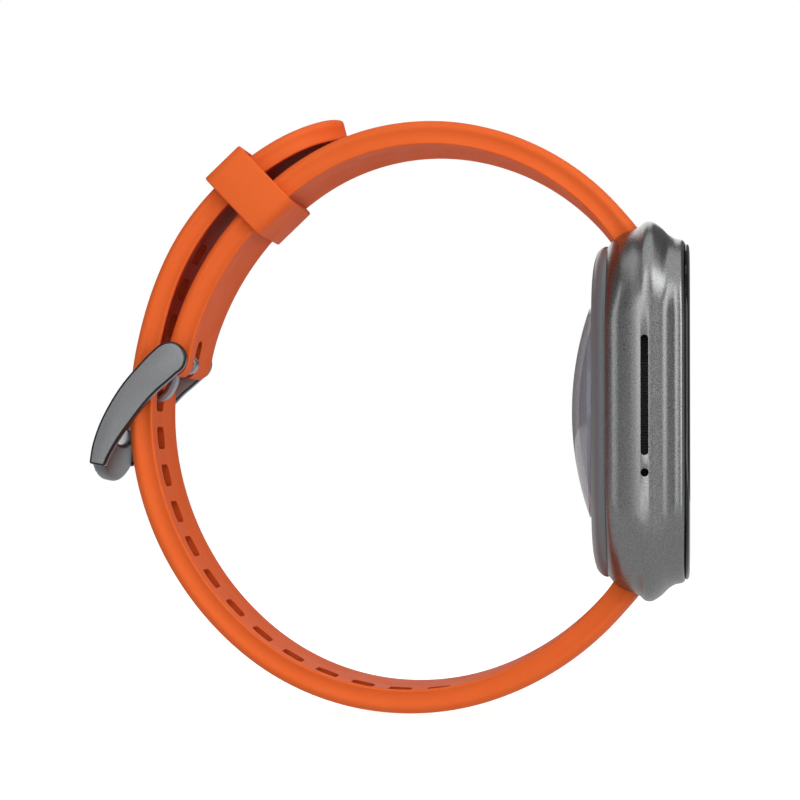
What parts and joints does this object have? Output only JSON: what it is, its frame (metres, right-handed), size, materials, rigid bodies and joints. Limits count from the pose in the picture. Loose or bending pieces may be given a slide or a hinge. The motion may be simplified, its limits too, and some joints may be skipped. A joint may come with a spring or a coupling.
{
  "type": "gps running watch",
  "caption": "Rounded square sports watch with a display, optical sensor dome, crown and a buckled silicone strap with a tail under a sliding keeper.",
  "frame": {"origin": "middle of the wrist opening, on the middle plane between the two arms of the buckle", "axes": "+X along the wrist, out of the crown side of the case; -Y out of the display; +Z to twelve o'clock"},
  "size_m": [0.043, 0.0757, 0.0763],
  "materials": {
    "case_metal": "fine bead-blasted, anodised grey",
    "glass_clear": "polished, black behind",
    "display": "dark display",
    "adhesive": "black adhesive foam",
    "cover_polymer": "fine matt grey polymer",
    "seal": "black seal rubber",
    "window_clear": "clear polished lens",
    "baffle_black": "black",
    "board_green": "green solder mask",
    "led": "LED package",
    "diode": "photodiode package",
    "gold": "gold-plated",
    "magnet": "nickel-plated",
    "frame_polymer": "glass-filled polymer",
    "screw_steel": "plain steel",
    "shield_tin": "tinned sheet",
    "ceramic": "ceramic block",
    "battery_foil": "foil pouch",
    "mesh": "fine black mesh",
    "microphone_can": "metal can",
    "flex": "amber polyimide",
    "steel": "turned steel",
    "switch_polymer": "black",
    "silicone": "soft matt orange silicone",
    "buckle_metal": "blasted and anodised grey"
  },
  "bodies": {
    "case": {"battery": "battery_foil", "battery_flex": "flex", "board_screws": "screw_steel", "buckle_bar_spring": "steel", "buckle_bar_tips": "steel", "buckle_bar_tube": "steel", "charging_contacts": "gold", "charging_magnets": "magnet", "cover_glass": "glass_clear", "crown_switch": "switch_polymer", "crown_tube": "steel", "display_flex": "flex", "display_gasket": "adhesive", "display_panel": "display", "gps_antenna": "ceramic", "inner_frame": "frame_polymer", "lower_bar_spring": "steel", "lower_bar_tip": "steel", "lower_bar_tube": "steel", "lower_strap": "silicone", "main_board": "board_green", "mic_mesh": "mesh", "microphone": "microphone_can", "mid_case": "case_metal", "photodiodes": "diode", "rear_cover": "cover_polymer", "rear_gasket": "seal", "sensor_baffle": "baffle_black", "sensor_board": "board_green", "sensor_flex": "flex", "sensor_leds": "led", "sensor_window": "window_clear", "shield_can": "shield_tin", "speaker_mesh": "mesh", "speaker_module": "frame_polymer", "upper_bar_spring": "steel", "upper_bar_tip": "steel", "upper_bar_tube": "steel", "upper_strap": "silicone", "vibration_motor": "frame_polymer"},
    "crown_slider": {"crown_clip": "steel", "switch_plunger": "steel"},
    "crown": {"crown_knob": "case_metal", "crown_stem": "steel", "crown_seals": "seal"},
    "buckle": {"buckle_frame": "buckle_metal"},
    "tang": {"buckle_tang": "steel"},
    "keeper": {"keeper_loop": "silicone"},
    "upper_release": {"upper_release_pin": "steel"},
    "lower_release": {"lower_release_pin": "steel"}
  },
  "joints": [
    {"name": "crown_press", "type": "slide", "parent": "case", "child": "crown_slider", "axis": [-1, 0, 0], "range_m": [0, 0.0004], "stiffness_N_per_m": 1000, "springref_m": -0.0005},
    {"name": "crown_turn", "type": "hinge", "parent": "crown_slider", "child": "crown", "pos_m": [0.02175, -0.0341, 0.0095], "axis": [1, 0, 0], "continuous": true},
    {"name": "buckle_pivot", "type": "hinge", "parent": "case", "child": "buckle", "pos_m": [0, 0.02491, 0.00633], "axis": [1, 0, 0], "range_deg": [-7, 0]},
    {"name": "tang_pivot", "type": "hinge", "parent": "case", "child": "tang", "pos_m": [0, 0.02491, 0.00633], "axis": [1, 0, 0], "range_deg": [0, 4]},
    {"name": "keeper_slide", "type": "hinge", "parent": "case", "child": "keeper", "pos_m": [0, -0.01232, -0.00125], "axis": [1, 0, 0], "range_deg": [-8, 8]},
    {"name": "upper_release_slide", "type": "slide", "parent": "case", "child": "upper_release", "axis": [1, 0, 0], "range_m": [0, 0.001], "stiffness_N_per_m": 300, "springref_m": -0.0015, "deforming": ["upper_bar_spring"]},
    {"name": "lower_release_slide", "type": "slide", "parent": "case", "child": "lower_release", "axis": [1, 0, 0], "range_m": [0, 0.001], "stiffness_N_per_m": 300, "springref_m": -0.0015, "deforming": ["lower_bar_spring"]}
  ]
}
